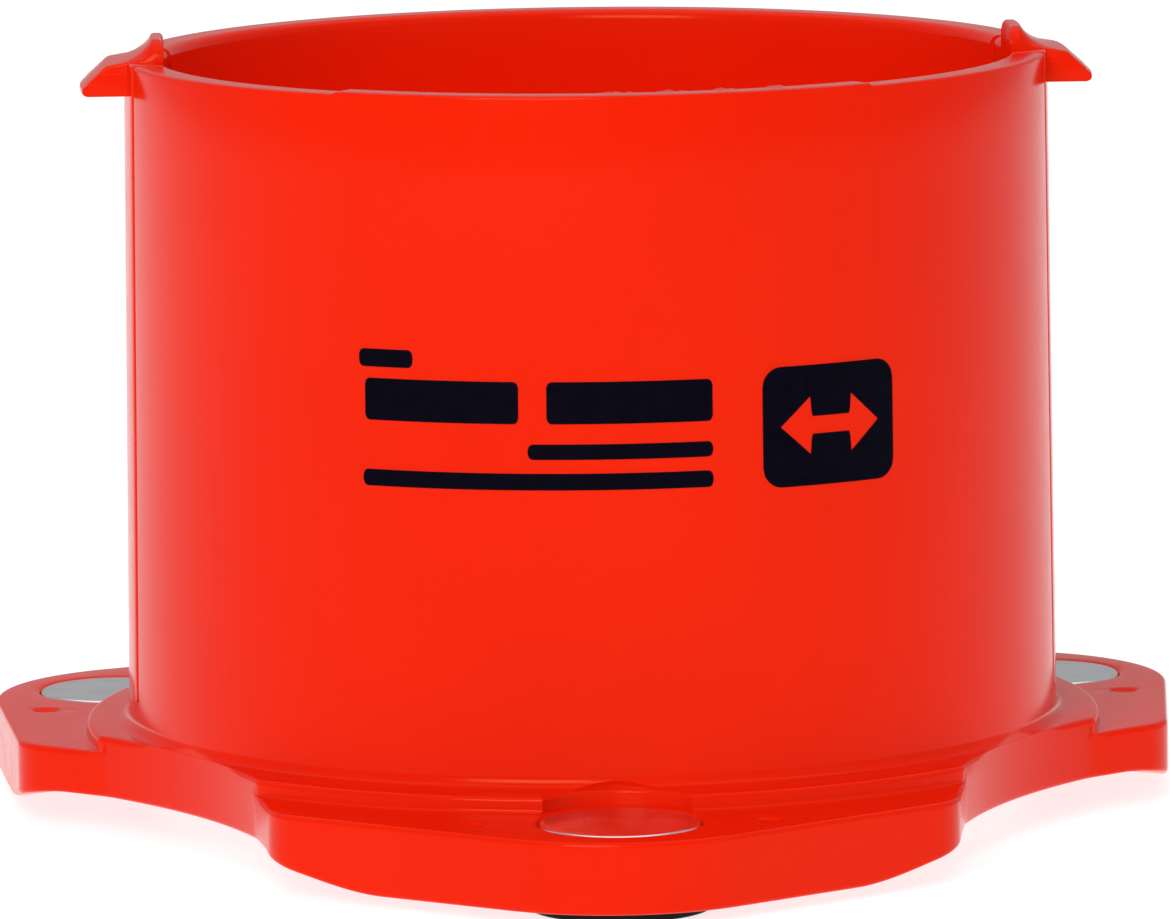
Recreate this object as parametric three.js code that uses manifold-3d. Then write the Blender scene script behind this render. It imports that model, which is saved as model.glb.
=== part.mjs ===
// A magnetic tape holder. A roll of tape slips over an upright tube, which stands on a base with
// three lobes. A magnet sits in each lobe over a rubber foot, and two spring clips cut out of the
// tube's wall hook over the roll. Millimetres, +Z up, the front lobe points along -Y.
import * as THREE from "three";
import { mergeVertices } from "three/addons/utils/BufferGeometryUtils.js";
import Module from "manifold-3d";

const wasm = await Module();
wasm.setup();

// Driving dimensions: the tube, its draft and the room that it gives a roll of tape
const tubeRimRadius = 37.5;
const tubeDraft = 0.5;
const tubeWall = 3.0;
const tapeRoom = 51.58;

// Magnets and rubber feet
const magnetRadius = 6.35;
const magnetThickness = 4.76;
const footMargin = 0.95;
const footThickness = 1.6;
const footProud = 0.9;

// Base: the ring that carries the roll, and the three lobes
const ringHeight = 1.3;
const ringWidth = 3.5;
const lobeRimWidth = 9.2;
const lobeTipRadius = 15.5;
const lobeCornerRadius = 4.8;
const lobeCornerSetback = 9.2;
const lobeCornerHalfSpan = 22.5;
const lobeSideNormal = THREE.MathUtils.degToRad(82.3);
const notchRadius = 56;
const notchLip = 0.3;
const archRise = 2.11;
const archFlatHalf = 15.8;
const archInset = 10.0;
const dimpleRadius = 1.25;
const dimpleDepth = 0.3;
const dimpleGap = 4.0;

// Clips
const clipWidth = 13.8;
const clipSlot = 0.8;
const slotSill = 2.5;
const hookWidth = 8.8;
const hookReach = 3.64;
const hookDepth = 2.7;
const hookNoseDepth = 0.75;
const hookShelf = 1.65;
const hookSweep = 1.0;
const finHeight = 1.75;
const finThickness = 0.8;
const finCornerRadius = 1.75;

// Clearances
const gap = 0.3;
const pocketToTube = 0.25;
const chamfer = 0.3;
const cutOverrun = 1;

// Worked out from the dimensions above
const tubeBaseRadius = tubeRimRadius + tubeDraft;
const boreRadius = tubeRimRadius - tubeWall;
const footRadius = magnetRadius + footMargin;
const magnetBottom = footThickness + gap;
const baseTop = magnetBottom + magnetThickness;
const ringTop = baseTop + ringHeight;
const slotBottom = ringTop + slotSill;
const rim = ringTop + tapeRoom + hookDepth;
const ringRadius = tubeBaseRadius + ringWidth;
const magnetHoleRadius = magnetRadius + gap;
const magnetMouthRadius = magnetHoleRadius + chamfer;
const magnetPitchRadius = tubeBaseRadius + pocketToTube + magnetMouthRadius;
const lobeReach = magnetPitchRadius + lobeRimWidth;

const lobes = [
  { name: "front", angle: -90 },
  { name: "rear_right", angle: 30 },
  { name: "rear_left", angle: 150 },
];
const notchAngles = [-30, 90, 210];
const roundSegments = 96;
const smallRoundSegments = 40;
const arcSegments = 10;

const plastic = { color: 0xf5280f, roughness: 0.25, metalness: 0 };
const nickel = { color: 0xb9bcc0, roughness: 0.3, metalness: 1 };
const rubber = { color: 0x141414, roughness: 0.85, metalness: 0 };

// A closed geometry as a solid, turned about Z and moved
function solid(geometry, degrees = 0, x = 0, y = 0, z = 0) {
  const turn = new THREE.Matrix4().makeRotationZ(THREE.MathUtils.degToRad(degrees));
  const move = new THREE.Matrix4().makeTranslation(x, y, z);
  const bare = geometry.clone();
  bare.deleteAttribute("normal");
  bare.deleteAttribute("uv");
  const welded = mergeVertices(bare.applyMatrix4(turn.multiply(move)), 1e-4);
  const vertProperties = welded.attributes.position.array;
  const triVerts = new Uint32Array(welded.index.array);
  return new wasm.Manifold(new wasm.Mesh({ numProp: 3, vertProperties, triVerts }));
}

// A solid's triangles as a three.js geometry
function geometryOf(body) {
  const mesh = body.getMesh();
  const geometry = new THREE.BufferGeometry();
  geometry.setAttribute("position", new THREE.BufferAttribute(mesh.vertProperties, 3));
  geometry.setIndex(new THREE.BufferAttribute(mesh.triVerts, 1));
  const faceted = geometry.toNonIndexed();
  faceted.computeVertexNormals();
  return faceted;
}

// A profile of [radius, height] points turned about Z
function turned(points, segments = roundSegments) {
  const profile = points.map(([radius, height]) => new THREE.Vector2(radius, height));
  return new THREE.LatheGeometry(profile, segments).rotateX(Math.PI / 2);
}

// A hollow profile turned about Z: the outline closes on itself
function turnedRing(points, segments = roundSegments) {
  return turned([...points, points[0]], segments);
}

// A disc from one height to another
function disc(radius, low, high, segments = smallRoundSegments) {
  return turned([[0, low], [radius, low], [radius, high], [0, high]], segments);
}

function boxBetween([x0, y0, z0], [x1, y1, z1]) {
  const box = new THREE.BoxGeometry(x1 - x0, y1 - y0, z1 - z0);
  return box.translate((x0 + x1) / 2, (y0 + y1) / 2, (z0 + z1) / 2);
}

function tubeRadiusAt(z) {
  return tubeRimRadius + (tubeDraft * (rim - z)) / (rim - ringTop);
}

// One lobe, pointing along +X: a round tip, straight flanks and two small round corners
function lobeShape() {
  const tipX = lobeReach - lobeTipRadius;
  const cornerX = magnetPitchRadius - lobeCornerSetback;
  const lean = Math.atan2(tipX - cornerX, lobeCornerHalfSpan);
  const apart = Math.hypot(tipX - cornerX, lobeCornerHalfSpan);
  const flank = Math.asin((lobeTipRadius - lobeCornerRadius) / apart) + lean;
  const sideSlope = 1 / Math.tan(lobeSideNormal);
  const cornerY = lobeCornerHalfSpan;
  const sideX = cornerX + lobeCornerRadius * Math.cos(lobeSideNormal);
  const sideY = cornerY + lobeCornerRadius * Math.sin(lobeSideNormal);
  const innerX = (tubeBaseRadius + boreRadius) / 2 - lobeCornerRadius * 2;
  const innerY = sideY + (sideX - innerX) * sideSlope;
  const shape = new THREE.Shape();
  shape.moveTo(boreRadius, 0);
  shape.lineTo(innerX, -innerY);
  shape.absarc(cornerX, -cornerY, lobeCornerRadius, -lobeSideNormal, -flank, false);
  shape.absarc(tipX, 0, lobeTipRadius, -flank, flank, false);
  shape.absarc(cornerX, cornerY, lobeCornerRadius, flank, lobeSideNormal, false);
  shape.lineTo(innerX, innerY);
  return shape;
}

// The hollow under the base between two lobes: flat in the middle, easing down at both sides
function archCutter() {
  const endHalf = magnetPitchRadius * Math.sin(Math.PI / 3) - archInset;
  const steps = 8;
  const right = [];
  for (let i = 0; i <= steps; i += 1) {
    const across = THREE.MathUtils.lerp(archFlatHalf, endHalf, i / steps);
    const rise = archRise * (1 - THREE.MathUtils.smoothstep(across, archFlatHalf, endHalf));
    right.push(new THREE.Vector2(across, footProud + rise));
  }
  const left = right.map((point) => new THREE.Vector2(-point.x, point.y));
  const floor = footProud - cutOverrun;
  const low = [new THREE.Vector2(-endHalf, floor), new THREE.Vector2(endHalf, floor)];
  const shape = new THREE.Shape([...low, ...right.reverse(), ...left]);
  const inner = boreRadius * Math.cos(Math.PI / 3);
  const cutter = new THREE.ExtrudeGeometry(shape, { depth: lobeReach - inner, bevelEnabled: false });
  return cutter.rotateX(Math.PI / 2).rotateZ(Math.PI / 2).translate(inner, 0, 0);
}

// The tube, ring and lobes, one moulding
function holderBody() {
  const tube = turnedRing([
    [boreRadius, footProud],
    [ringRadius, footProud],
    [ringRadius, ringTop],
    [tubeBaseRadius, ringTop],
    [tubeRimRadius, rim],
    [boreRadius, rim],
  ]);
  let body = solid(tube);
  const notchX = tubeBaseRadius + notchLip + notchRadius;
  const notch = disc(notchRadius, footProud - cutOverrun, ringTop + cutOverrun, 2 * roundSegments);
  for (const angle of notchAngles) body = body.subtract(solid(notch, angle, notchX));

  const lobe = new THREE.ExtrudeGeometry(lobeShape(), {
    depth: baseTop - footProud,
    bevelEnabled: false,
    curveSegments: arcSegments,
  });
  const bore = disc(boreRadius, footProud - cutOverrun, rim + cutOverrun, roundSegments);
  for (const { angle } of lobes) {
    const whole = solid(lobe, angle, 0, 0, footProud);
    body = body.add(whole.subtract(solid(bore)));
  }
  const arch = archCutter();
  for (const angle of notchAngles) body = body.subtract(solid(arch, angle));

  const footRecess = disc(footRadius + gap, footProud - cutOverrun, magnetBottom);
  const magnetHole = turned(
    [
      [0, footProud],
      [magnetHoleRadius, footProud],
      [magnetHoleRadius, baseTop - chamfer],
      [magnetMouthRadius, baseTop],
      [magnetMouthRadius, ringTop + cutOverrun],
      [0, ringTop + cutOverrun],
    ],
    smallRoundSegments,
  );
  const dimple = disc(dimpleRadius, baseTop - dimpleDepth, baseTop + cutOverrun, 16);
  const dimpleY = magnetRadius + dimpleGap + dimpleRadius;
  for (const { angle } of lobes) {
    body = body.subtract(solid(footRecess, angle, magnetPitchRadius));
    body = body.subtract(solid(magnetHole, angle, magnetPitchRadius));
    body = body.subtract(solid(dimple, angle, magnetPitchRadius, dimpleY));
    body = body.subtract(solid(dimple, angle, magnetPitchRadius, -dimpleY));
  }

  const slotHalf = clipWidth / 2 + clipSlot;
  const slotReach = ringRadius + hookReach;
  const slots = boxBetween([-slotReach, -slotHalf, slotBottom], [slotReach, slotHalf, rim + cutOverrun]);
  return body.subtract(solid(slots));
}

// The hook and its thumb fin, seen from the front, as [radius, height] points
function hookProfile() {
  const nose = tubeRimRadius + hookReach;
  const underside = rim - hookDepth;
  const shelfX = tubeRimRadius + hookShelf;
  const finX = boreRadius + finThickness;
  const curve = new THREE.Path();
  curve.moveTo(shelfX, rim - chamfer);
  curve.quadraticCurveTo(finX + hookSweep, rim - chamfer / 2, finX, rim + finHeight);
  const sweep = curve.getPoints(arcSegments).map((point) => [point.x, point.y]);
  return [
    [boreRadius, underside - hookDepth],
    [tubeRimRadius - gap, underside - hookDepth],
    [tubeRimRadius - gap, underside],
    [nose - chamfer, underside],
    [nose, underside + chamfer],
    [nose - chamfer / 2, underside + hookNoseDepth],
    ...sweep,
    [boreRadius, rim + finHeight],
  ];
}

// The thumb fin's outline seen along the radius: the width of the hook with round top corners
function finOutline() {
  const half = hookWidth / 2;
  const top = rim + finHeight;
  const shape = new THREE.Shape();
  shape.moveTo(-half, rim - 3 * hookDepth);
  shape.lineTo(half, rim - 3 * hookDepth);
  shape.lineTo(half, top - finCornerRadius);
  shape.absarc(half - finCornerRadius, top - finCornerRadius, finCornerRadius, 0, Math.PI / 2, false);
  shape.absarc(finCornerRadius - half, top - finCornerRadius, finCornerRadius, Math.PI / 2, Math.PI, false);
  return shape;
}

// One clip, on the +X side: a strip of the tube's wall, free at the top, with a hook and a thumb fin
function clipArm() {
  const foot = slotBottom + gap;
  const strip = solid(
    turnedRing([
      [boreRadius, foot],
      [tubeRadiusAt(foot), foot],
      [tubeRimRadius, rim],
      [boreRadius, rim],
    ]),
  );
  const beyond = ringRadius + hookReach;
  const halfClip = clipWidth / 2;
  const stripBox = boxBetween([0, -halfClip, foot - cutOverrun], [beyond, halfClip, rim + cutOverrun]);
  const hookBlock = new THREE.ExtrudeGeometry(finOutline(), {
    depth: beyond,
    bevelEnabled: false,
    curveSegments: 4,
  });
  hookBlock.rotateX(Math.PI / 2).rotateZ(Math.PI / 2);
  const hook = solid(turnedRing(hookProfile())).intersect(solid(hookBlock));
  return strip.intersect(solid(stripBox)).add(hook);
}

function piece(name, geometry, look) {
  const mesh = new THREE.Mesh(geometry, new THREE.MeshStandardMaterial(look));
  mesh.name = name;
  return mesh;
}

// A disc with both rims chamfered, standing on z = 0
function chamferedDisc(radius, height, bevel) {
  return turned(
    [
      [0, 0],
      [radius - bevel, 0],
      [radius, bevel],
      [radius, height - bevel],
      [radius - bevel, height],
      [0, height],
    ],
    smallRoundSegments,
  );
}

const holder = new THREE.Group();
holder.add(piece("holder_body", geometryOf(holderBody()), plastic));

const clipGeometry = geometryOf(clipArm());
const rightClip = piece("right_clip_arm", clipGeometry, plastic);
const leftClip = piece("left_clip_arm", clipGeometry, plastic);
leftClip.rotation.z = Math.PI;
holder.add(rightClip, leftClip);

for (const { name, angle } of lobes) {
  const station = new THREE.Group();
  station.rotation.z = THREE.MathUtils.degToRad(angle);
  const magnet = piece(`magnet_${name}`, chamferedDisc(magnetRadius, magnetThickness, chamfer), nickel);
  magnet.position.set(magnetPitchRadius, 0, magnetBottom);
  const foot = piece(`rubber_foot_${name}`, chamferedDisc(footRadius, footThickness, chamfer), rubber);
  foot.position.set(magnetPitchRadius, 0, 0);
  station.add(magnet, foot);
  holder.add(station);
}

// The origin is under the middle of the whole object, on the surface that it stands on
const tapeDispenser = new THREE.Group();
tapeDispenser.add(holder);
const extent = new THREE.Box3().setFromObject(tapeDispenser, true);
holder.position.y = -(extent.min.y + extent.max.y) / 2;

export default tapeDispenser;
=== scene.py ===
"""The looks of a magnetic tape holder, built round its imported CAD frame.

Shapes are worked out in millimetres in hub coordinates, whose origin is on the floor under the
tube's axis. They go into the frame's metres when a mesh is made.
"""

import math

import bmesh
import bpy
import numpy as np
from mathutils import Matrix, Vector


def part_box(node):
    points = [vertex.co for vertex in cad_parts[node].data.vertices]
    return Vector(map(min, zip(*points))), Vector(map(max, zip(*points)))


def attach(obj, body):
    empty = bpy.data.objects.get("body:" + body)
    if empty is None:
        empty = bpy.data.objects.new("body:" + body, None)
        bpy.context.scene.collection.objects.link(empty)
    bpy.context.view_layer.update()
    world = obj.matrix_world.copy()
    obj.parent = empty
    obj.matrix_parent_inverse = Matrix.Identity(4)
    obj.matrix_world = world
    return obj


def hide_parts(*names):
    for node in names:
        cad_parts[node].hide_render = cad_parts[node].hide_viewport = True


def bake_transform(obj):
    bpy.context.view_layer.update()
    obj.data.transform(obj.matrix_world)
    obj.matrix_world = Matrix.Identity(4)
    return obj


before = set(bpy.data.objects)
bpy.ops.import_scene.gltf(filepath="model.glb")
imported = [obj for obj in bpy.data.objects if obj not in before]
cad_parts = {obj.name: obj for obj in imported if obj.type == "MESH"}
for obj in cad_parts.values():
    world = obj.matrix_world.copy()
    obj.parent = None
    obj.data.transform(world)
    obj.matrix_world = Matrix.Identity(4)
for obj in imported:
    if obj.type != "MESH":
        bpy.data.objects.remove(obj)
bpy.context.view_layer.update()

# ---------------------------------------------------------------- sizes read from the frame, in mm
MM = 0.001


def box_mm(node):
    low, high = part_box(node)
    return np.array(low) / MM, np.array(high) / MM


BODY_LOW, BODY_HIGH = box_mm("holder_body")
CLIP_LOW, CLIP_HIGH = box_mm("right_clip_arm")
MAGNET_LOW, MAGNET_HIGH = box_mm("magnet_front")
FOOT_LOW, FOOT_HIGH = box_mm("rubber_foot_front")

HUB_Y = (CLIP_LOW[1] + CLIP_HIGH[1]) / 2
RIM = BODY_HIGH[2]
BASE_BOTTOM = BODY_LOW[2]
BASE_TOP = MAGNET_HIGH[2]
MAGNET_RADIUS = (MAGNET_HIGH[0] - MAGNET_LOW[0]) / 2
MAGNET_BOTTOM = MAGNET_LOW[2]
FOOT_RADIUS = (FOOT_HIGH[0] - FOOT_LOW[0]) / 2
FOOT_BOTTOM = FOOT_LOW[2]
FOOT_TOP = FOOT_HIGH[2]
PITCH = HUB_Y - (MAGNET_LOW[1] + MAGNET_HIGH[1]) / 2
LOBE_REACH = HUB_Y - BODY_LOW[1]
CLIP_HALF = (CLIP_HIGH[1] - CLIP_LOW[1]) / 2
HOOK_NOSE = CLIP_HIGH[0]
FIN_HEIGHT = CLIP_HIGH[2] - RIM

# ---------------------------------------------------------------- sizes that the frame doesn't give
TUBE_RIM_RADIUS = 37.5
TUBE_DRAFT = 0.5
TUBE_BASE_RADIUS = TUBE_RIM_RADIUS + TUBE_DRAFT
BORE_RADIUS = 34.5
RING_TOP = BASE_TOP + 1.3
RING_RADIUS = 41.5
NOTCH_RADIUS = 56.0
NOTCH_CENTRE = TUBE_BASE_RADIUS + 0.12 + NOTCH_RADIUS
NOTCH_NEAR_SHARE = 0.9
LOBE_TIP_RADIUS = 15.5
LOBE_CORNER_RADIUS = 4.8
LOBE_CORNER_X = PITCH - 9.2
LOBE_CORNER_Y = 22.5
LOBE_SIDE_NORMAL = math.radians(82.3)
LOBE_TO_NOTCH = math.radians(60.0)
ARCH_RISE = 2.11
ARCH_FLAT_HALF = 15.8
ARCH_INSET = 10.0
LOBE_ANGLES = {"front": -90.0, "rear_right": 30.0, "rear_left": 150.0}
NOTCH_ANGLES = (-30.0, 90.0, 210.0)

# Cuts: the clips' slots, the magnets' pockets and the small marks beside them
GAP = 0.3
SLOT = 0.8
SLOT_BOTTOM = CLIP_LOW[2] - GAP
POCKET_EASE = 0.05
MOUTH_WIDTH = 0.75
MOUTH_DEPTH = 0.28
RING_FLARE = 0.35
FLARE_CLEAR = 0.1
SCALLOP_LEAN = 0.3
SCALLOP_HEIGHT = 1.4
CUT_BELOW = 1.0
CUT_PAST = 2.0
DIMPLE_RADIUS = 1.25
DIMPLE_DEPTH = 0.3
DIMPLE_OFFSET = MAGNET_RADIUS + 4.0 + DIMPLE_RADIUS
DIMPLE_FLAT = 0.75
DIMPLE_EDGE = 1.35
DIMPLE_MARGIN = 0.12
DIMPLE_CLEAR = 0.02
DIMPLE_CAP = 0.4

# Clips
HOOK_HALF = 4.4
HOOK_DEPTH = 2.7
HOOK_LIP = -1.6
HOOK_ROOT = 3.0
HOOK_BURY = 0.4
NOSE_BURY = 0.6
FACE_TOP = (39.15, -0.27)
FACE_LOW = (HOOK_NOSE - 0.06, -HOOK_DEPTH + 0.70)
FIN_CORNER = FIN_HEIGHT
PARTING = 0.8
PARTING_STEP = 0.08
ROOT_DEPTH = 1.2
ROOT_BURY = 0.3
ROOT_STEP = 0.02

# Rounds and blends
EDGE_ROUND = 0.45
TOP_ROUND_SHARE = 0.45
RING_ROUND_SHARE = 0.5
LEDGE_SHARES = (0.2, 0.5, 0.8)
CROWN_SHARES = (0.3, 0.6)
LEAST_LEAN = 0.5
BOTTOM_ROUND = 0.4
RING_FOOT_FILLET = 0.35
FOOT_FILLET_SHARE = 0.30
TUBE_FILLET = 1.0
NOTCH_EDGE_BLEND = 0.25
RIM_OUTER_ROUND = 0.25
RIM_INNER_ROUND = 0.8
CREASE_BLEND = 0.15
RING_END_BLEND = 0.12
LEAST_LEDGE = 0.05
ARM_ROUND = 0.3
HOOK_ROUND = 0.2
NOSE_ROUND = 0.06
MAGNET_ROUND = 0.35
MAGNET_DISH = 0.03
FOOT_ROUND = 0.25

# The trimmed moulding gate on the rim: degrees from the front where it starts and ends
GATE_START = (-34.6, -34.2)
GATE_END = (34.0, 34.4)
LUMPS_START = (-6.0, 1.0)
LUMPS_END = (22.0, 27.0)
LUMP_WAVES = ((0.9, 0.3), (1.7, 1.9), (2.9, 4.1), (4.7, 0.8))
GATE_LIFT = 0.2
CROWN_LUMP = 0.04
EDGE_LUMP = 0.10
LUMP_OVERHANG = 0.5

# Printing on the tube's front
PRINT_STANDOFF = 0.01
PRINT_LIFT = 0.035
PRINT_STEP = 0.1
BAR_ROUND = 0.45
BADGE_ROUND = 1.6
ARROW_MARGIN = 1.5
ARROW_HEAD = 2.6
ARROW_HEAD_HALF = 2.3
ARROW_SHAFT_HALF = 0.7
ARROW_BARB_SLOPE = 12.0

# How finely the meshes are divided, and how close points are merged
COLUMNS = 900
ROUND_STEPS = 5
UNDERSIDE_STEPS = 12
EDGE_STEPS = 5
FILLET_STEPS = 14
WALL_STEPS = 8
BORE_STEPS = 8
DIMPLE_STEPS = 8
ARM_LEVELS = 30
CLIP_COLUMNS = 15
DISC_SEGMENTS = 96
DIMPLE_SEGMENTS = 32
WELD = 0.004
CUT_WELD = 0.001


# ---------------------------------------------------------------- small helpers
def smooth(value, low, high):
    t = np.clip((value - low) / (high - low), 0.0, 1.0)
    return t * t * (3.0 - 2.0 * t)


def smooth_max(a, b, width):
    return (a + b + np.sqrt((a - b) ** 2 + width**2)) / 2.0


def smooth_min(a, b, width):
    return -smooth_max(-a, -b, width)


def between(a, b, t):
    """The points a share t of the way from a to b, each given as x and y."""
    return a[0] + (b[0] - a[0]) * t, a[1] + (b[1] - a[1]) * t


def angle_from(theta, degrees):
    """How far theta is from a direction, from -pi to pi."""
    return (theta - math.radians(degrees) + math.pi) % (2.0 * math.pi) - math.pi


def quarter(steps=ROUND_STEPS):
    """The angles of a quarter turn, for rounds and fillets."""
    return [math.pi / 2.0 * i / steps for i in range(steps + 1)]


def station(degrees, along, across=0.0):
    """A point in one lobe, by its distance from the hub and its offset to the side."""
    c, s = math.cos(math.radians(degrees)), math.sin(math.radians(degrees))
    return along * c - across * s, along * s + across * c


def linked(name, data):
    """An object in the scene for a mesh, a light or a camera."""
    made = bpy.data.objects.new(name, data)
    bpy.context.scene.collection.objects.link(made)
    return made


def mesh_object(name, points, faces, merge=True):
    """A mesh from points in hub millimetres, with its faces turned outwards."""
    mesh = bpy.data.meshes.new(name)
    scaled = [(x * MM, (y + HUB_Y) * MM, z * MM) for x, y, z in points]
    mesh.from_pydata(scaled, [], faces)
    work = bmesh.new()
    work.from_mesh(mesh)
    if merge:
        bmesh.ops.remove_doubles(work, verts=work.verts, dist=WELD * MM)
        bmesh.ops.dissolve_degenerate(work, edges=work.edges, dist=WELD * MM / 4)
    bmesh.ops.recalc_face_normals(work, faces=work.faces)
    work.to_mesh(mesh)
    work.free()
    return linked(name, mesh)


def grid_faces(rows, columns, close_rows=True):
    """Faces between rows of points. The columns close on themselves, and the rows may too."""
    faces = []
    for i in range(rows if close_rows else rows - 1):
        here = i * columns
        below = (i + 1) % rows * columns
        for j in range(columns):
            beside = (j + 1) % columns
            faces.append((here + j, here + beside, below + beside, below + j))
    return faces


def lathe(name, profile, segments, centre):
    """A profile of (radius, height) pairs turned about an upright axis."""
    points = []
    for radius, height in profile:
        for k in range(segments):
            angle = 2.0 * math.pi * k / segments
            x = centre[0] + radius * math.cos(angle)
            y = centre[1] + radius * math.sin(angle)
            points.append((x, y, height))
    return mesh_object(name, points, grid_faces(len(profile), segments, close_rows=False))


def joined(name, objects):
    """One object that holds the meshes of several, which are removed."""
    work = bmesh.new()
    for item in objects:
        work.from_mesh(item.data)
    mesh = bpy.data.meshes.new(name)
    work.to_mesh(mesh)
    work.free()
    for item in objects:
        bpy.data.objects.remove(item)
    return linked(name, mesh)


def combine(body, other, operation):
    """Applies an exact boolean of other to body, clears the slivers it leaves, and removes other."""
    modifier = body.modifiers.new("combine", "BOOLEAN")
    modifier.operation = operation
    modifier.solver = "EXACT"
    modifier.object = other
    evaluated = body.evaluated_get(bpy.context.evaluated_depsgraph_get())
    mesh = bpy.data.meshes.new_from_object(evaluated)
    work = bmesh.new()
    work.from_mesh(mesh)
    bmesh.ops.dissolve_degenerate(work, edges=work.edges, dist=CUT_WELD * MM)
    work.to_mesh(mesh)
    work.free()
    body.modifiers.clear()
    body.data = mesh
    bpy.data.objects.remove(other)


def finish_surface(item, material, sharp_degrees=32.0):
    """Smooth shading with sharp edges kept, and the piece's material."""
    mesh = item.data
    mesh.materials.clear()
    mesh.materials.append(material)
    for polygon in mesh.polygons:
        polygon.material_index = 0
    mesh.shade_smooth()
    mesh.set_sharp_from_angle(angle=math.radians(sharp_degrees))


# ---------------------------------------------------------------- materials
class Surface:
    """A Principled material whose textures follow the object's own coordinates."""

    def __init__(self, name):
        self.material = bpy.data.materials.new(name)
        self.material.use_nodes = True
        self.nodes = self.material.node_tree.nodes
        self.links = self.material.node_tree.links
        self.shader = self.nodes["Principled BSDF"]
        self.where = self.nodes.new("ShaderNodeTexCoord").outputs["Object"]

    def add(self, kind, source, socket, values):
        """A new node with one input fed by source and others set."""
        node = self.nodes.new(kind)
        for name, value in values.items():
            node.inputs[name].default_value = value
        self.links.new(source, node.inputs[socket])
        return node

    def noise(self, scale, detail, roughness=0.5):
        values = {"Scale": scale, "Detail": detail, "Roughness": roughness}
        return self.add("ShaderNodeTexNoise", self.where, "Vector", values).outputs["Fac"]

    def bump(self, height, distance, strength, under=None):
        values = {"Distance": distance, "Strength": strength}
        node = self.add("ShaderNodeBump", height, "Height", values)
        if under is not None:
            self.links.new(under, node.inputs["Normal"])
        return node.outputs["Normal"]

    def set_colour(self, value, start, end):
        """Colours the surface from one (position, colour) stop to another."""
        node = self.add("ShaderNodeValToRGB", value, "Fac", {})
        for element, (position, colour) in zip(node.color_ramp.elements, (start, end)):
            element.position = position
            element.color = (*colour, 1.0)
        self.links.new(node.outputs["Color"], self.shader.inputs["Base Color"])

    def set_roughness(self, value, low, high):
        node = self.add("ShaderNodeMapRange", value, "Value", {"To Min": low, "To Max": high})
        self.links.new(node.outputs["Result"], self.shader.inputs["Roughness"])

    def set_normal(self, normal):
        self.links.new(normal, self.shader.inputs["Normal"])

    def set_value(self, socket, value):
        self.shader.inputs[socket].default_value = value


def plastic_material():
    """Glossy orange-red moulded plastic: slight flow marks, orange peel and handling scuffs."""
    surface = Surface("red_plastic")
    flow = surface.noise(28.0, 4.0)
    surface.set_colour(flow, (0.30, (0.78, 0.0110, 0.0007)), (0.70, (0.83, 0.0140, 0.0010)))
    surface.set_roughness(surface.noise(420.0, 5.0, 0.62), 0.10, 0.26)
    waves = surface.bump(surface.noise(90.0, 2.0), 0.00025, 0.10)
    surface.set_normal(surface.bump(surface.noise(900.0, 2.0), 0.00003, 0.25, waves))
    surface.set_value("IOR", 1.46)
    surface.set_value("Specular IOR Level", 0.17)
    surface.set_value("Specular Tint", (1.0, 0.70, 0.35, 1.0))
    return surface.material


def nickel_material():
    """Bright nickel plate with a faint haze."""
    surface = Surface("magnet_plating")
    haze = surface.noise(350.0, 4.0)
    surface.set_colour(haze, (0.3, (0.72, 0.73, 0.76)), (0.7, (0.84, 0.85, 0.88)))
    surface.set_roughness(haze, 0.12, 0.34)
    surface.set_normal(surface.bump(surface.noise(160.0, 2.0), 0.0002, 0.15))
    surface.set_value("Metallic", 1.0)
    return surface.material


def rubber_material():
    """Matt black rubber with a fine grain."""
    surface = Surface("black_rubber")
    grain = surface.noise(1500.0, 4.0)
    surface.set_colour(grain, (0.3, (0.003, 0.003, 0.003)), (0.7, (0.008, 0.008, 0.008)))
    surface.set_roughness(grain, 0.55, 0.80)
    surface.set_normal(surface.bump(grain, 0.00005, 0.5))
    surface.set_value("Specular IOR Level", 0.2)
    return surface.material


def ink_material():
    """Navy printing ink, a little uneven."""
    surface = Surface("navy_ink")
    patchy = surface.noise(900.0, 4.0)
    surface.set_colour(patchy, (0.3, (0.0008, 0.0006, 0.0035)), (0.75, (0.0020, 0.0012, 0.0070)))
    surface.set_roughness(patchy, 0.38, 0.52)
    surface.set_value("Specular IOR Level", 0.03)
    return surface.material


def stage_material():
    """A plain floor that glows a little, so that it stays nearly white."""
    surface = Surface("stage_white")
    cloud = surface.noise(3.0, 2.0)
    surface.set_colour(cloud, (0.3, (0.38, 0.38, 0.38)), (0.7, (0.40, 0.40, 0.40)))
    surface.set_value("Roughness", 0.9)
    surface.set_value("Specular IOR Level", 0.0)
    surface.set_value("Emission Color", (1.0, 1.0, 1.0, 1.0))
    surface.set_value("Emission Strength", 0.80)
    return surface.material


RED = plastic_material()
NICKEL = nickel_material()
RUBBER = rubber_material()
INK = ink_material()


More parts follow.
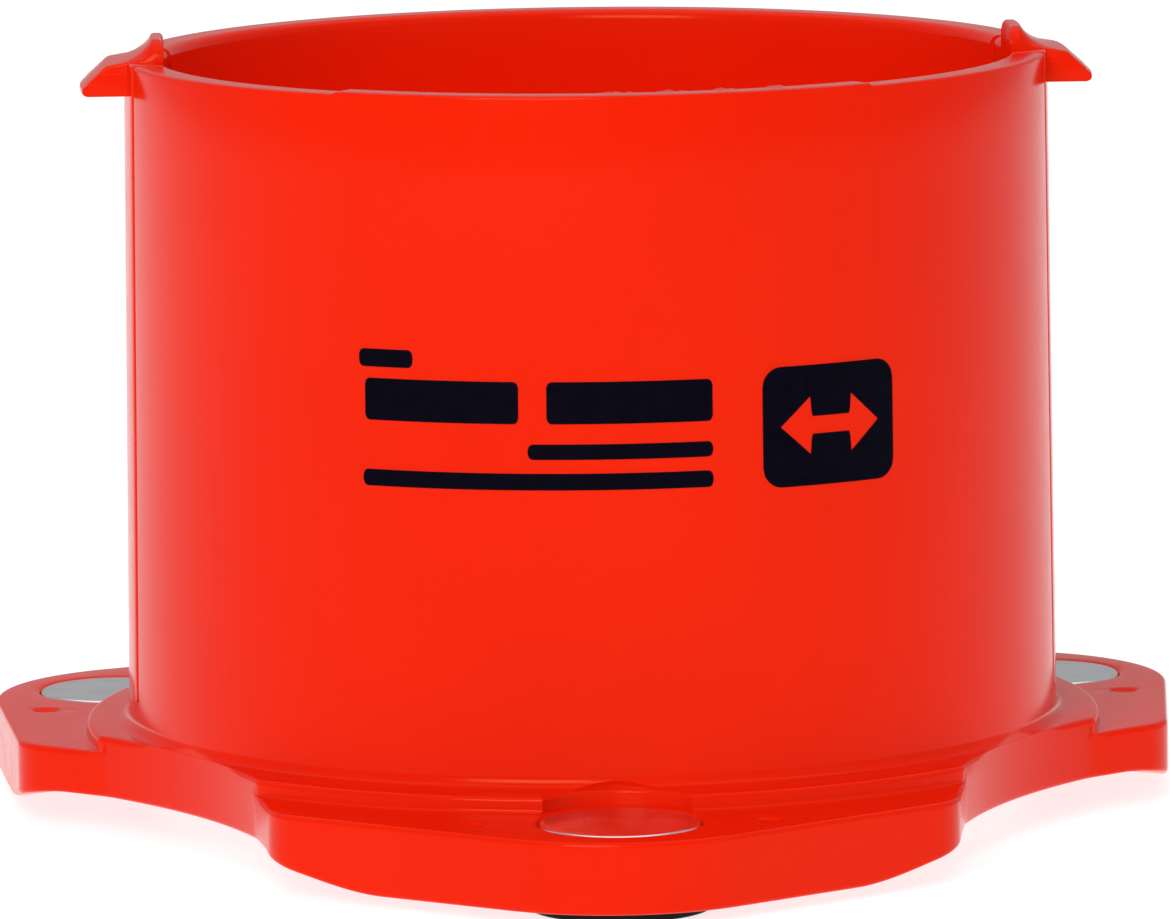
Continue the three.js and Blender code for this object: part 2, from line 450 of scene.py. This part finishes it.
# ---------------------------------------------------------------- the base's outline from above
def lobe_radius(alpha):
    """The lobe's edge as a distance from the hub, alpha being the angle from the lobe's middle."""
    tip_x = LOBE_REACH - LOBE_TIP_RADIUS
    corner = (LOBE_CORNER_X, LOBE_CORNER_Y)
    apart = math.hypot(tip_x - LOBE_CORNER_X, LOBE_CORNER_Y)
    lean = math.atan2(tip_x - LOBE_CORNER_X, LOBE_CORNER_Y)
    flank = math.asin((LOBE_TIP_RADIUS - LOBE_CORNER_RADIUS) / apart) + lean
    bearing = math.atan2(corner[1], corner[0])
    reach = math.hypot(*corner)
    a = np.abs(alpha)

    def on_line(normal, centre, radius):
        offset = centre[0] * math.cos(normal) + centre[1] * math.sin(normal) + radius
        return offset / np.maximum(np.cos(a - normal), 1e-3)

    def on_circle(distance, direction, radius):
        across = distance * np.sin(a - direction)
        return distance * np.cos(a - direction) + np.sqrt(np.maximum(radius**2 - across**2, 0.0))

    def bearing_of(centre, radius, normal):
        return math.atan2(centre[1] + radius * math.sin(normal), centre[0] + radius * math.cos(normal))

    tip_end = bearing_of((tip_x, 0.0), LOBE_TIP_RADIUS, flank)
    corner_start = bearing_of(corner, LOBE_CORNER_RADIUS, flank)
    corner_end = bearing_of(corner, LOBE_CORNER_RADIUS, LOBE_SIDE_NORMAL)
    radius = on_line(LOBE_SIDE_NORMAL, corner, LOBE_CORNER_RADIUS)
    radius = np.where(a < corner_end, on_circle(reach, bearing, LOBE_CORNER_RADIUS), radius)
    radius = np.where(a < corner_start, on_line(flank, (tip_x, 0.0), LOBE_TIP_RADIUS), radius)
    radius = np.where(a < tip_end, on_circle(tip_x, 0.0, LOBE_TIP_RADIUS), radius)
    return np.where(a < LOBE_TO_NOTCH, radius, 0.0)


def ring_radius(theta):
    """The raised ring's edge, with the three notches between the lobes."""
    radius = np.full_like(theta, RING_RADIUS)
    for degrees in NOTCH_ANGLES:
        alpha = angle_from(theta, degrees)
        across = NOTCH_CENTRE * np.sin(alpha)
        near = (np.abs(across) < NOTCH_RADIUS * NOTCH_NEAR_SHARE) & (np.cos(alpha) > 0.0)
        depth = np.sqrt(np.maximum(NOTCH_RADIUS**2 - across**2, 0.0))
        notched = smooth_min(radius, NOTCH_CENTRE * np.cos(alpha) - depth, RING_END_BLEND)
        radius = np.where(near, notched, radius)
    return radius


def base_radius(theta):
    """The outer edge of the whole base."""
    radius = ring_radius(theta)
    for degrees in LOBE_ANGLES.values():
        radius = smooth_max(radius, lobe_radius(angle_from(theta, degrees)), CREASE_BLEND)
    return ring_radius(theta) + np.maximum(radius - ring_radius(theta) - LEAST_LEDGE, 0.0)


def arch_height(x, y):
    """The underside's height: hollow between the lobes, flat under them."""
    end = PITCH * math.sin(LOBE_TO_NOTCH) - ARCH_INSET
    rise = np.zeros_like(x)
    for degrees in NOTCH_ANGLES:
        c, s = math.cos(math.radians(degrees)), math.sin(math.radians(degrees))
        along = x * c + y * s
        across = np.abs(y * c - x * s)
        here = ARCH_RISE * (1.0 - smooth(across, ARCH_FLAT_HALF, end))
        rise = np.maximum(rise, np.where(along > BORE_RADIUS / 2.0, here, 0.0))
    return BASE_BOTTOM + rise


def tube_radius(z):
    return TUBE_RIM_RADIUS + TUBE_DRAFT * (RIM - z) / (RIM - RING_TOP)


def ragged(theta):
    """The moulding gate's height round the rim, as a share, and its small lumps."""
    azimuth = np.degrees(angle_from(theta, -90.0))
    raised = smooth(azimuth, *GATE_START) * (1.0 - smooth(azimuth, *GATE_END))
    lumps = np.zeros_like(theta)
    for k, (rate, phase) in enumerate(LUMP_WAVES):
        lumps += np.sin(azimuth * rate + phase) / (1.0 + k)
    window = smooth(azimuth, *LUMPS_START) * (1.0 - smooth(azimuth, *LUMPS_END))
    return raised, np.maximum(lumps, 0.0) * window


# ---------------------------------------------------------------- the holder's rows of points
class Outline:
    """A closed outline round the hub, with outward normals, for rows that step in or out."""

    def __init__(self, theta, radius):
        self.x = radius * np.cos(theta)
        self.y = radius * np.sin(theta)
        tangent_x = np.roll(self.x, -1) - np.roll(self.x, 1)
        tangent_y = np.roll(self.y, -1) - np.roll(self.y, 1)
        length = np.hypot(tangent_x, tangent_y)
        self.nx = tangent_y / length
        self.ny = -tangent_x / length

    def out(self, distance):
        return self.x + self.nx * distance, self.y + self.ny * distance


class Section:
    """The outlines, widths and rounds that the holder's rows follow, by direction round the hub."""

    def __init__(self, theta):
        self.ring_edge = ring_radius(theta)
        self.base = Outline(theta, base_radius(theta))
        self.ring = Outline(theta, self.ring_edge)
        self.unit = Outline(theta, np.ones_like(theta))
        ledge = np.maximum(base_radius(theta) - self.ring_edge, 0.0)
        width = self.ring_edge - TUBE_BASE_RADIUS
        self.top_round = np.minimum(EDGE_ROUND, TOP_ROUND_SHARE * ledge)
        self.foot_fillet = np.minimum(RING_FOOT_FILLET, FOOT_FILLET_SHARE * ledge)
        self.ring_round = np.clip(RING_ROUND_SHARE * (width - TUBE_FILLET), 0.0, EDGE_ROUND)
        self.bore_foot = arch_height(*self.circle(BORE_RADIUS))
        raised, self.lumps = ragged(theta)
        self.lift = GATE_LIFT * raised

    def circle(self, radius):
        return self.unit.x * radius, self.unit.y * radius


def underside_rows(section):
    """From the bore's lower edge out to the base's edge."""
    for phi in quarter(3):
        step = BOTTOM_ROUND * (1.0 - math.sin(phi))
        yield section.circle(BORE_RADIUS + BOTTOM_ROUND - step), section.bore_foot + step
    start = section.circle(BORE_RADIUS + BOTTOM_ROUND)
    end = section.base.out(-BOTTOM_ROUND)
    for i in range(1, UNDERSIDE_STEPS + 1):
        xy = between(start, end, i / UNDERSIDE_STEPS)
        yield xy, arch_height(*xy)


def edge_rows(section):
    """Up the base's edge, which is rounded below and above."""
    base = section.base
    low = arch_height(*base.out(-BOTTOM_ROUND))
    for phi in quarter()[1:]:
        rise = BOTTOM_ROUND * (1.0 - math.cos(phi))
        yield base.out(-BOTTOM_ROUND * (1.0 - math.sin(phi))), low + rise
    bottom = low + BOTTOM_ROUND
    for i in range(1, EDGE_STEPS):
        yield base.out(0.0), bottom + (BASE_TOP - section.top_round - bottom) * i / EDGE_STEPS
    for phi in quarter():
        drop = section.top_round * (1.0 - math.sin(phi))
        yield base.out(-section.top_round * (1.0 - math.cos(phi))), BASE_TOP - drop


def ring_rows(section):
    """In over the lobes' tops, then up the raised ring and over its edge."""
    inner = section.base.out(-section.top_round)
    outer = section.ring.out(section.foot_fillet)
    for t in LEDGE_SHARES:
        yield between(inner, outer, t), BASE_TOP
    for phi in quarter():
        rise = section.foot_fillet * (1.0 - math.cos(phi))
        yield section.ring.out(section.foot_fillet * (1.0 - math.sin(phi))), BASE_TOP + rise
    for phi in quarter():
        drop = EDGE_ROUND * (1.0 - math.sin(phi))
        yield section.ring.out(-section.ring_round * (1.0 - math.cos(phi))), RING_TOP - drop


def tube_rows(section):
    """Up the tube, from the fillet at its foot, which the notches cut into."""
    for phi in quarter(FILLET_STEPS):
        z = RING_TOP + TUBE_FILLET * (1.0 - math.cos(phi))
        fillet = tube_radius(z) + TUBE_FILLET * (1.0 - math.sin(phi))
        radius = smooth_min(fillet, section.ring_edge, NOTCH_EDGE_BLEND * math.cos(phi))
        yield section.circle(radius), z
    fillet_top = RING_TOP + TUBE_FILLET
    for i in range(1, WALL_STEPS + 1):
        z = fillet_top + (RIM - RIM_OUTER_ROUND - fillet_top) * i / WALL_STEPS
        yield section.circle(tube_radius(z)), z + section.lift * (i == WALL_STEPS)


def rim_rows(section):
    """Over the rim, with what is left of the moulding gate."""
    for phi in quarter(3)[1:]:
        radius = TUBE_RIM_RADIUS - RIM_OUTER_ROUND * (1.0 - math.cos(phi))
        z = RIM - RIM_OUTER_ROUND * (1.0 - math.sin(phi)) + section.lift
        yield section.circle(radius), z
    crown = BORE_RADIUS + RIM_INNER_ROUND
    for t in CROWN_SHARES:
        radius = TUBE_RIM_RADIUS - RIM_OUTER_ROUND + (crown - TUBE_RIM_RADIUS) * t
        yield section.circle(radius), RIM + section.lift + CROWN_LUMP * section.lumps * t
    for phi in quarter():
        bulge = EDGE_LUMP * section.lumps * math.cos(phi) ** 2
        drop = RIM_INNER_ROUND * (1.0 - math.cos(phi))
        radius = crown - RIM_INNER_ROUND * math.sin(phi) - LUMP_OVERHANG * bulge
        yield section.circle(radius), RIM - drop + section.lift * math.cos(phi) + bulge


def bore_rows(section):
    """Down the bore, to just above its lower edge."""
    top = RIM - RIM_INNER_ROUND
    run = section.bore_foot + BOTTOM_ROUND - RIM + RIM_INNER_ROUND
    for i in range(1, BORE_STEPS):
        yield section.circle(BORE_RADIUS), top + run * i / BORE_STEPS


def holder_rows(theta):
    """Rows of points round the hub: along the underside, up the outside, over the rim and down."""
    section = Section(theta)
    flat = np.ones_like(theta)
    rows = []
    for part in (underside_rows, edge_rows, ring_rows, tube_rows, rim_rows, bore_rows):
        for (x, y), z in part(section):
            rows.append(np.stack([x * flat, y * flat, z * flat], axis=1))
    return rows


# ---------------------------------------------------------------- the holder and its cutters
def pocket_cutter(name, centre):
    """The magnet's hole, its rounded mouth and the foot's recess below it, as one cutter."""
    recess = FOOT_RADIUS + GAP
    hole = MAGNET_RADIUS + POCKET_EASE
    mouth = hole + MOUTH_WIDTH
    profile = [
        (0.0, BASE_BOTTOM - CUT_BELOW),
        (recess, BASE_BOTTOM - CUT_BELOW),
        (recess, MAGNET_BOTTOM),
        (hole, MAGNET_BOTTOM),
    ]
    for phi in quarter():
        height = BASE_TOP - MOUTH_DEPTH * (1.0 - math.sin(phi))
        profile.append((hole + MOUTH_WIDTH * (1.0 - math.cos(phi)), height))
    for phi in quarter():
        height = RING_TOP - RING_FLARE * (1.0 - math.sin(phi))
        profile.append((mouth + RING_FLARE * (1.0 - math.cos(phi)), height))
    profile += [
        (mouth + RING_FLARE, RING_TOP + FLARE_CLEAR),
        (hole + SCALLOP_LEAN, RING_TOP + SCALLOP_HEIGHT),
        (0.0, RING_TOP + SCALLOP_HEIGHT),
    ]
    return lathe(name, profile, DISC_SEGMENTS, centre)


def dimple_cutter(name, centre):
    """A shallow round mark with a soft edge."""
    bottom = BASE_TOP - DIMPLE_DEPTH
    profile = [(0.0, bottom)]
    for i in range(1, DIMPLE_STEPS + 1):
        radius = (DIMPLE_RADIUS + DIMPLE_MARGIN) * i / DIMPLE_STEPS
        rise = (DIMPLE_DEPTH + DIMPLE_CLEAR) * smooth(radius, DIMPLE_FLAT, DIMPLE_EDGE)
        profile.append((radius, bottom + rise))
    profile += [(profile[-1][0], BASE_TOP + DIMPLE_CAP), (0.0, BASE_TOP + DIMPLE_CAP)]
    return lathe(name, profile, DIMPLE_SEGMENTS, centre)


def slot_cutter():
    """The gap in the tube's wall that each clip stands in, cut through both sides at once."""
    half = CLIP_HALF + SLOT
    reach = RING_RADIUS + CUT_PAST
    heights = (SLOT_BOTTOM, RIM + CUT_PAST)
    points = [(x, y, z) for x in (-reach, reach) for y in (-half, half) for z in heights]
    faces = [(0, 1, 3, 2), (4, 6, 7, 5), (0, 4, 5, 1), (2, 3, 7, 6), (0, 2, 6, 4), (1, 5, 7, 3)]
    return mesh_object("slot_cutter", points, faces, merge=False)


def holder_shell():
    theta = 2.0 * math.pi * np.arange(COLUMNS) / COLUMNS
    rows = holder_rows(theta)
    points = np.concatenate(rows).tolist()
    shell = mesh_object("holder_shell", points, grid_faces(len(rows), COLUMNS))
    cutters = [slot_cutter()]
    for name, degrees in LOBE_ANGLES.items():
        cutters.append(pocket_cutter("pocket_" + name, station(degrees, PITCH)))
        for side in (-1.0, 1.0):
            place = station(degrees, PITCH, side * DIMPLE_OFFSET)
            cutters.append(dimple_cutter("dimple_" + name, place))
    combine(shell, joined("cutters", cutters), "DIFFERENCE")
    finish_surface(shell, RED)
    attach(shell, "holder")
    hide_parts("holder_body")


# ---------------------------------------------------------------- clips
def side_normals(sides):
    normals = np.stack([-sides[:, 1], sides[:, 0]], axis=1)
    return normals / np.linalg.norm(normals, axis=1)[:, None]


def inset(profile, distance):
    """A closed profile stepped in by a distance, along the mean normals of its sides."""
    p = np.array(profile)
    ahead = side_normals(np.roll(p, -1, axis=0) - p)
    behind = side_normals(p - np.roll(p, 1, axis=0))
    mean = ahead + behind
    mean /= np.linalg.norm(mean, axis=1)[:, None]
    lean = np.maximum((mean * ahead).sum(axis=1), LEAST_LEAN)
    return p + mean * (distance / lean)[:, None]


def swept(name, profile, half, edge, side, ladder=False, shape=None):
    """A closed (radius, height) profile, anticlockwise, carried across the clip with rounded ends.

    side is 1 for the right clip and -1 for the left. ladder closes each end with rungs between the
    two halves of the profile instead of one face. shape may change heights by place across.
    """
    ends = []
    for phi in quarter(3):
        ends.append((-half + edge * (1.0 - math.cos(phi)), edge * (1.0 - math.sin(phi))))
    middle = np.linspace(-half + edge, half - edge, CLIP_COLUMNS)[1:-1]
    columns = ends + [(y, 0.0) for y in middle] + [(-y, step) for y, step in ends[::-1]]
    points = []
    for y, step in columns:
        stepped = inset(profile, step)
        if shape is not None:
            stepped = shape(stepped, y)
        for radius, z in stepped:
            points.append((side * math.sqrt(radius**2 - y**2), side * y, z))
    count = len(profile)
    faces = grid_faces(len(columns), count, close_rows=False)
    for start in (0, (len(columns) - 1) * count):
        if ladder:
            last = start + count - 1
            for k in range(count // 2 - 1):
                faces.append((start + k, start + k + 1, last - k - 1, last - k))
        else:
            faces.append(tuple(start + k for k in range(count)))
    return mesh_object(name, points, faces)


def arm_profile():
    """The strip of wall: outer points from the root up, then inner points back down, in equal number.

    The root is buried in the wall below the slot.
    """
    roots = (SLOT_BOTTOM - ROOT_DEPTH, SLOT_BOTTOM - ROOT_STEP)
    levels = np.linspace(SLOT_BOTTOM, RIM - RIM_INNER_ROUND, ARM_LEVELS)
    outer = [(tube_radius(z) - ROOT_BURY, z) for z in roots]
    inner = [(BORE_RADIUS + ROOT_BURY, z) for z in roots]
    outer += [(tube_radius(z), z) for z in levels]
    inner += [(BORE_RADIUS, z) for z in levels]
    for phi in quarter(3):
        radius = TUBE_RIM_RADIUS - RIM_OUTER_ROUND * (1.0 - math.cos(phi))
        outer.append((radius, RIM - RIM_OUTER_ROUND * (1.0 - math.sin(phi))))
    for phi in quarter(4)[1:]:
        radius = BORE_RADIUS + RIM_INNER_ROUND * (1.0 - math.cos(phi))
        inner.append((radius, RIM - RIM_INNER_ROUND * (1.0 - math.sin(phi))))
    return outer + inner[::-1]


def hook_face(height):
    """The hook's sloping face: its distance from the tube's axis at a height from the rim."""
    slope_run = (FACE_LOW[0] - FACE_TOP[0]) * (height - FACE_TOP[1])
    return FACE_TOP[0] + slope_run / (FACE_LOW[1] - FACE_TOP[1])


def hook_profile():
    """The hook and thumb fin seen from the side, anticlockwise."""
    under = -HOOK_DEPTH
    outline = [
        (BORE_RADIUS, under - HOOK_ROOT),
        (TUBE_RIM_RADIUS - HOOK_BURY, under - HOOK_ROOT),
        (TUBE_RIM_RADIUS - HOOK_BURY, under),
        (hook_face(HOOK_LIP) - 0.4, under + 0.1),
        (hook_face(HOOK_LIP), HOOK_LIP),
        (39.30, -0.40),
        (39.13, -0.27),
        (38.80, -0.17),
        (38.25, -0.08),
        (37.36, 0.14),
        (36.70, 0.42),
        (36.15, 0.78),
        (35.72, 1.18),
        (35.45, FIN_HEIGHT - 0.20),
        (35.36, FIN_HEIGHT - 0.06),
        (35.22, FIN_HEIGHT),
        (BORE_RADIUS + 0.18, FIN_HEIGHT),
        (BORE_RADIUS, FIN_HEIGHT - 0.15),
    ]
    return [(radius, RIM + height) for radius, height in outline]


def nose_profile():
    """The hook's lower part, which stands a little proud along a parting line."""
    under = -HOOK_DEPTH
    parting = -PARTING
    outline = [
        (TUBE_RIM_RADIUS - NOSE_BURY, under),
        (HOOK_NOSE - 0.42, under),
        (HOOK_NOSE - 0.18, under + 0.08),
        (HOOK_NOSE - 0.04, under + 0.22),
        (HOOK_NOSE, under + 0.42),
        (HOOK_NOSE - 0.04, under + 0.62),
        (hook_face(parting) + 0.05, parting - 0.05),
        (hook_face(parting) - 0.03, parting),
        (TUBE_RIM_RADIUS - NOSE_BURY, parting),
    ]
    return [(radius, RIM + height) for radius, height in outline]


def round_fin(points, y):
    """Lowers the fin towards its two corners, so that its top is rounded from side to side."""
    beyond = max(abs(y) - (HOOK_HALF - FIN_CORNER), 0.0)
    drop = FIN_CORNER - math.sqrt(max(FIN_CORNER**2 - beyond**2, 0.0))
    scale = 1.0 - drop / FIN_HEIGHT
    height = points[:, 1] - RIM
    lowered = points.copy()
    lowered[:, 1] = np.where(height > 0.0, RIM + height * scale, points[:, 1])
    return lowered


def clip(side, word):
    arm = swept(word + "_clip", arm_profile(), CLIP_HALF, ARM_ROUND, side, ladder=True)
    hook = swept(word + "_hook", hook_profile(), HOOK_HALF, HOOK_ROUND, side, shape=round_fin)
    nose = swept(word + "_nose", nose_profile(), HOOK_HALF + PARTING_STEP, NOSE_ROUND, side)
    combine(hook, nose, "UNION")
    combine(arm, hook, "UNION")
    finish_surface(arm, RED)
    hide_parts(word + "_clip_arm")
    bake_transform(arm)


# ---------------------------------------------------------------- magnets and rubber feet
def rounded_disc(name, radius, low, high, edge, degrees, material, nodes, dish=0.0):
    """A disc in one lobe with rounded edges, its top dished by a little where dish is given."""
    profile = [(0.0, low), (radius - edge, low)]
    for phi in quarter()[1:]:
        profile.append((radius - edge + edge * math.sin(phi), low + edge * (1.0 - math.cos(phi))))
    for phi in quarter():
        profile.append((radius - edge + edge * math.cos(phi), high - edge * (1.0 - math.sin(phi))))
    profile += [(radius * 0.8, high - dish * 0.5), (radius * 0.5, high - dish), (0.0, high - dish)]
    made = lathe(name, profile, DISC_SEGMENTS, station(degrees, PITCH))
    finish_surface(made, material)
    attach(made, "holder")
    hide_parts(nodes)


def magnet(name, degrees):
    rounded_disc(
        "nickel_magnet_" + name,
        MAGNET_RADIUS,
        MAGNET_BOTTOM,
        BASE_TOP,
        MAGNET_ROUND,
        degrees,
        NICKEL,
        "magnet_" + name,
        dish=MAGNET_DISH,
    )


def rubber_foot(name, degrees):
    rounded_disc(
        "foot_pad_" + name,
        FOOT_RADIUS,
        FOOT_BOTTOM,
        FOOT_TOP,
        FOOT_ROUND,
        degrees,
        RUBBER,
        "rubber_foot_" + name,
    )


# ---------------------------------------------------------------- printing
def ribbon(low, high, start, end):
    """Columns (arc length, low, high) of a strip between two edges that vary along the tube's face."""
    count = max(2, int((end - start) / PRINT_STEP) + 1)
    return [(s, low(s), high(s)) for s in np.linspace(start, end, count)]


def printed(name, strips):
    """Thin ink on the tube's front, from strips of (arc length, low, high) columns."""
    points = []
    faces = []
    for strip in strips:
        first = len(points)
        for s, low, high in strip:
            azimuth = s / TUBE_RIM_RADIUS
            for z in (low, high):
                radius = tube_radius(z) + PRINT_STANDOFF
                points.append((radius * math.sin(azimuth), -radius * math.cos(azimuth), z))
        for k in range(len(strip) - 1):
            a = first + 2 * k
            faces.append((a, a + 2, a + 3, a + 1))
    made = mesh_object(name, points, faces)
    work = bmesh.new()
    work.from_mesh(made.data)
    bmesh.ops.solidify(work, geom=work.faces[:], thickness=-PRINT_LIFT * MM)
    bmesh.ops.recalc_face_normals(work, faces=work.faces)
    work.to_mesh(made.data)
    work.free()
    finish_surface(made, INK)
    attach(made, "holder")


def corner_step(s, start, end, radius):
    """How far a rounded corner pulls in a strip's long edges at s."""
    near = max(radius - (s - start), radius - (end - s), 0.0)
    return radius - math.sqrt(max(radius**2 - near**2, 0.0))


def bar(start, end, low, high):
    """A plain bar with rounded ends."""
    radius = min(BAR_ROUND, (high - low) / 2.0)

    def step(s):
        return corner_step(s, start, end, radius)

    return ribbon(lambda s: low + step(s), lambda s: high - step(s), start, end)


def badge(start, end, low, high):
    """A rounded badge with a plain two-headed arrow left open in it."""
    middle = (low + high) / 2.0
    arrow_start, arrow_end = start + ARROW_MARGIN, end - ARROW_MARGIN

    def step(s):
        return corner_step(s, start, end, BADGE_ROUND)

    def open_half(s):
        inside = min(s - arrow_start, arrow_end - s)
        if inside <= 0.0:
            return 0.0
        if inside <= ARROW_HEAD:
            return ARROW_HEAD_HALF * inside / ARROW_HEAD
        barb = ARROW_HEAD_HALF - (inside - ARROW_HEAD) * ARROW_BARB_SLOPE
        return max(ARROW_SHAFT_HALF, barb)

    upper = ribbon(lambda s: middle + open_half(s), lambda s: high - step(s), start, end)
    lower = ribbon(lambda s: low + step(s), lambda s: middle - open_half(s), start, end)
    return [upper, lower]


# ---------------------------------------------------------------- stage, lights and camera, in metres
FLOOR_RADIUS = 5.0
FLOOR_RINGS = 6
FLOOR_SPOKES = 48
FLOOR_LEVEL = -0.00005
WORLD_STRENGTH = 0.41
LIGHT_TARGET = (0.0, 0.0, 0.03)
CAMERA_LENS_MM = 306.47
CAMERA_SENSOR_MM = 36.0
CAMERA_FROM_HUB = (-0.03572, -0.80576, 0.14319)
CAMERA_AIM_FROM_HUB = (-0.00041, 0.00002, 0.02866)
CAMERA_ROLL = math.radians(-0.653)


def stage_floor():
    """A wide pale floor, a hair below the feet."""
    points = [(0.0, 0.0, FLOOR_LEVEL)]
    for i in range(1, FLOOR_RINGS + 1):
        reach = FLOOR_RADIUS * i / FLOOR_RINGS
        for k in range(FLOOR_SPOKES):
            angle = 2.0 * math.pi * k / FLOOR_SPOKES
            points.append((reach * math.cos(angle), reach * math.sin(angle), FLOOR_LEVEL))
    faces = [(0, 1 + k, 1 + (k + 1) % FLOOR_SPOKES) for k in range(FLOOR_SPOKES)]
    for i in range(FLOOR_RINGS - 1):
        first = 1 + i * FLOOR_SPOKES
        for k in range(FLOOR_SPOKES):
            a, b = first + k, first + (k + 1) % FLOOR_SPOKES
            faces.append((a, a + FLOOR_SPOKES, b + FLOOR_SPOKES, b))
    mesh = bpy.data.meshes.new("stage_floor")
    mesh.from_pydata(points, [], faces)
    mesh.materials.append(stage_material())
    floor = linked("stage_floor", mesh)


def aim(item, target, roll=0.0):
    """Turns a light or camera to face a point, then rolls it about its line of sight."""
    forward = (Vector(target) - item.location).normalized()
    right = forward.cross(Vector((0.0, 0.0, 1.0))).normalized()
    up = right.cross(forward)
    turned_right = right * math.cos(roll) + up * math.sin(roll)
    turned_up = up * math.cos(roll) - right * math.sin(roll)
    columns = Matrix((turned_right, turned_up, -forward)).transposed()
    item.rotation_mode = "QUATERNION"
    item.rotation_quaternion = columns.to_quaternion()


def area_light(name, place, width, power):
    """A square white light that faces the middle of the object."""
    data = bpy.data.lights.new(name, "AREA")
    data.shape = "RECTANGLE"
    data.size = width
    data.size_y = width
    data.energy = power
    made = linked(name, data)
    made.location = place
    aim(made, LIGHT_TARGET)


def lights():
    world = bpy.data.worlds.new("studio")
    bpy.context.scene.world = world
    world.use_nodes = True
    background = world.node_tree.nodes["Background"]
    background.inputs["Color"].default_value = (1.0, 1.0, 1.0, 1.0)
    background.inputs["Strength"].default_value = WORLD_STRENGTH
    area_light("key", (-0.33, -1.00, 0.68), 0.6, 7.7)
    area_light("fill", (0.9, -0.6, 0.5), 0.6, 0.2)
    area_light("top", (0.0, 0.15, 1.0), 1.2, 3.3)


def camera():
    data = bpy.data.cameras.new("camera")
    data.sensor_width = CAMERA_SENSOR_MM
    data.lens = CAMERA_LENS_MM
    data.dof.use_dof = False
    data.clip_start = 0.05
    data.clip_end = 20.0
    made = linked("camera", data)
    hub = Vector((0.0, HUB_Y * MM, 0.0))
    made.location = hub + Vector(CAMERA_FROM_HUB)
    aim(made, hub + Vector(CAMERA_AIM_FROM_HUB), CAMERA_ROLL)
    bpy.context.scene.camera = made


# ---------------------------------------------------------------- the scene
holder_shell()
clip(1.0, "right")
clip(-1.0, "left")
for lobe, direction in LOBE_ANGLES.items():
    magnet(lobe, direction)
    rubber_foot(lobe, direction)
printed(
    "front_print_bars",
    [
        bar(-20.3, -15.7, 41.0, 42.4),
        bar(-19.8, -7.2, 36.8, 40.1),
        bar(-5.0, 8.0, 36.8, 40.1),
        bar(-6.5, 8.0, 34.0, 35.2),
        bar(-20.0, 8.0, 31.6, 32.9),
    ],
)
printed("front_print_badge", badge(12.1, 24.0, 31.2, 40.7))

stage_floor()
lights()
camera()
bpy.context.scene.view_settings.view_transform = "Standard"
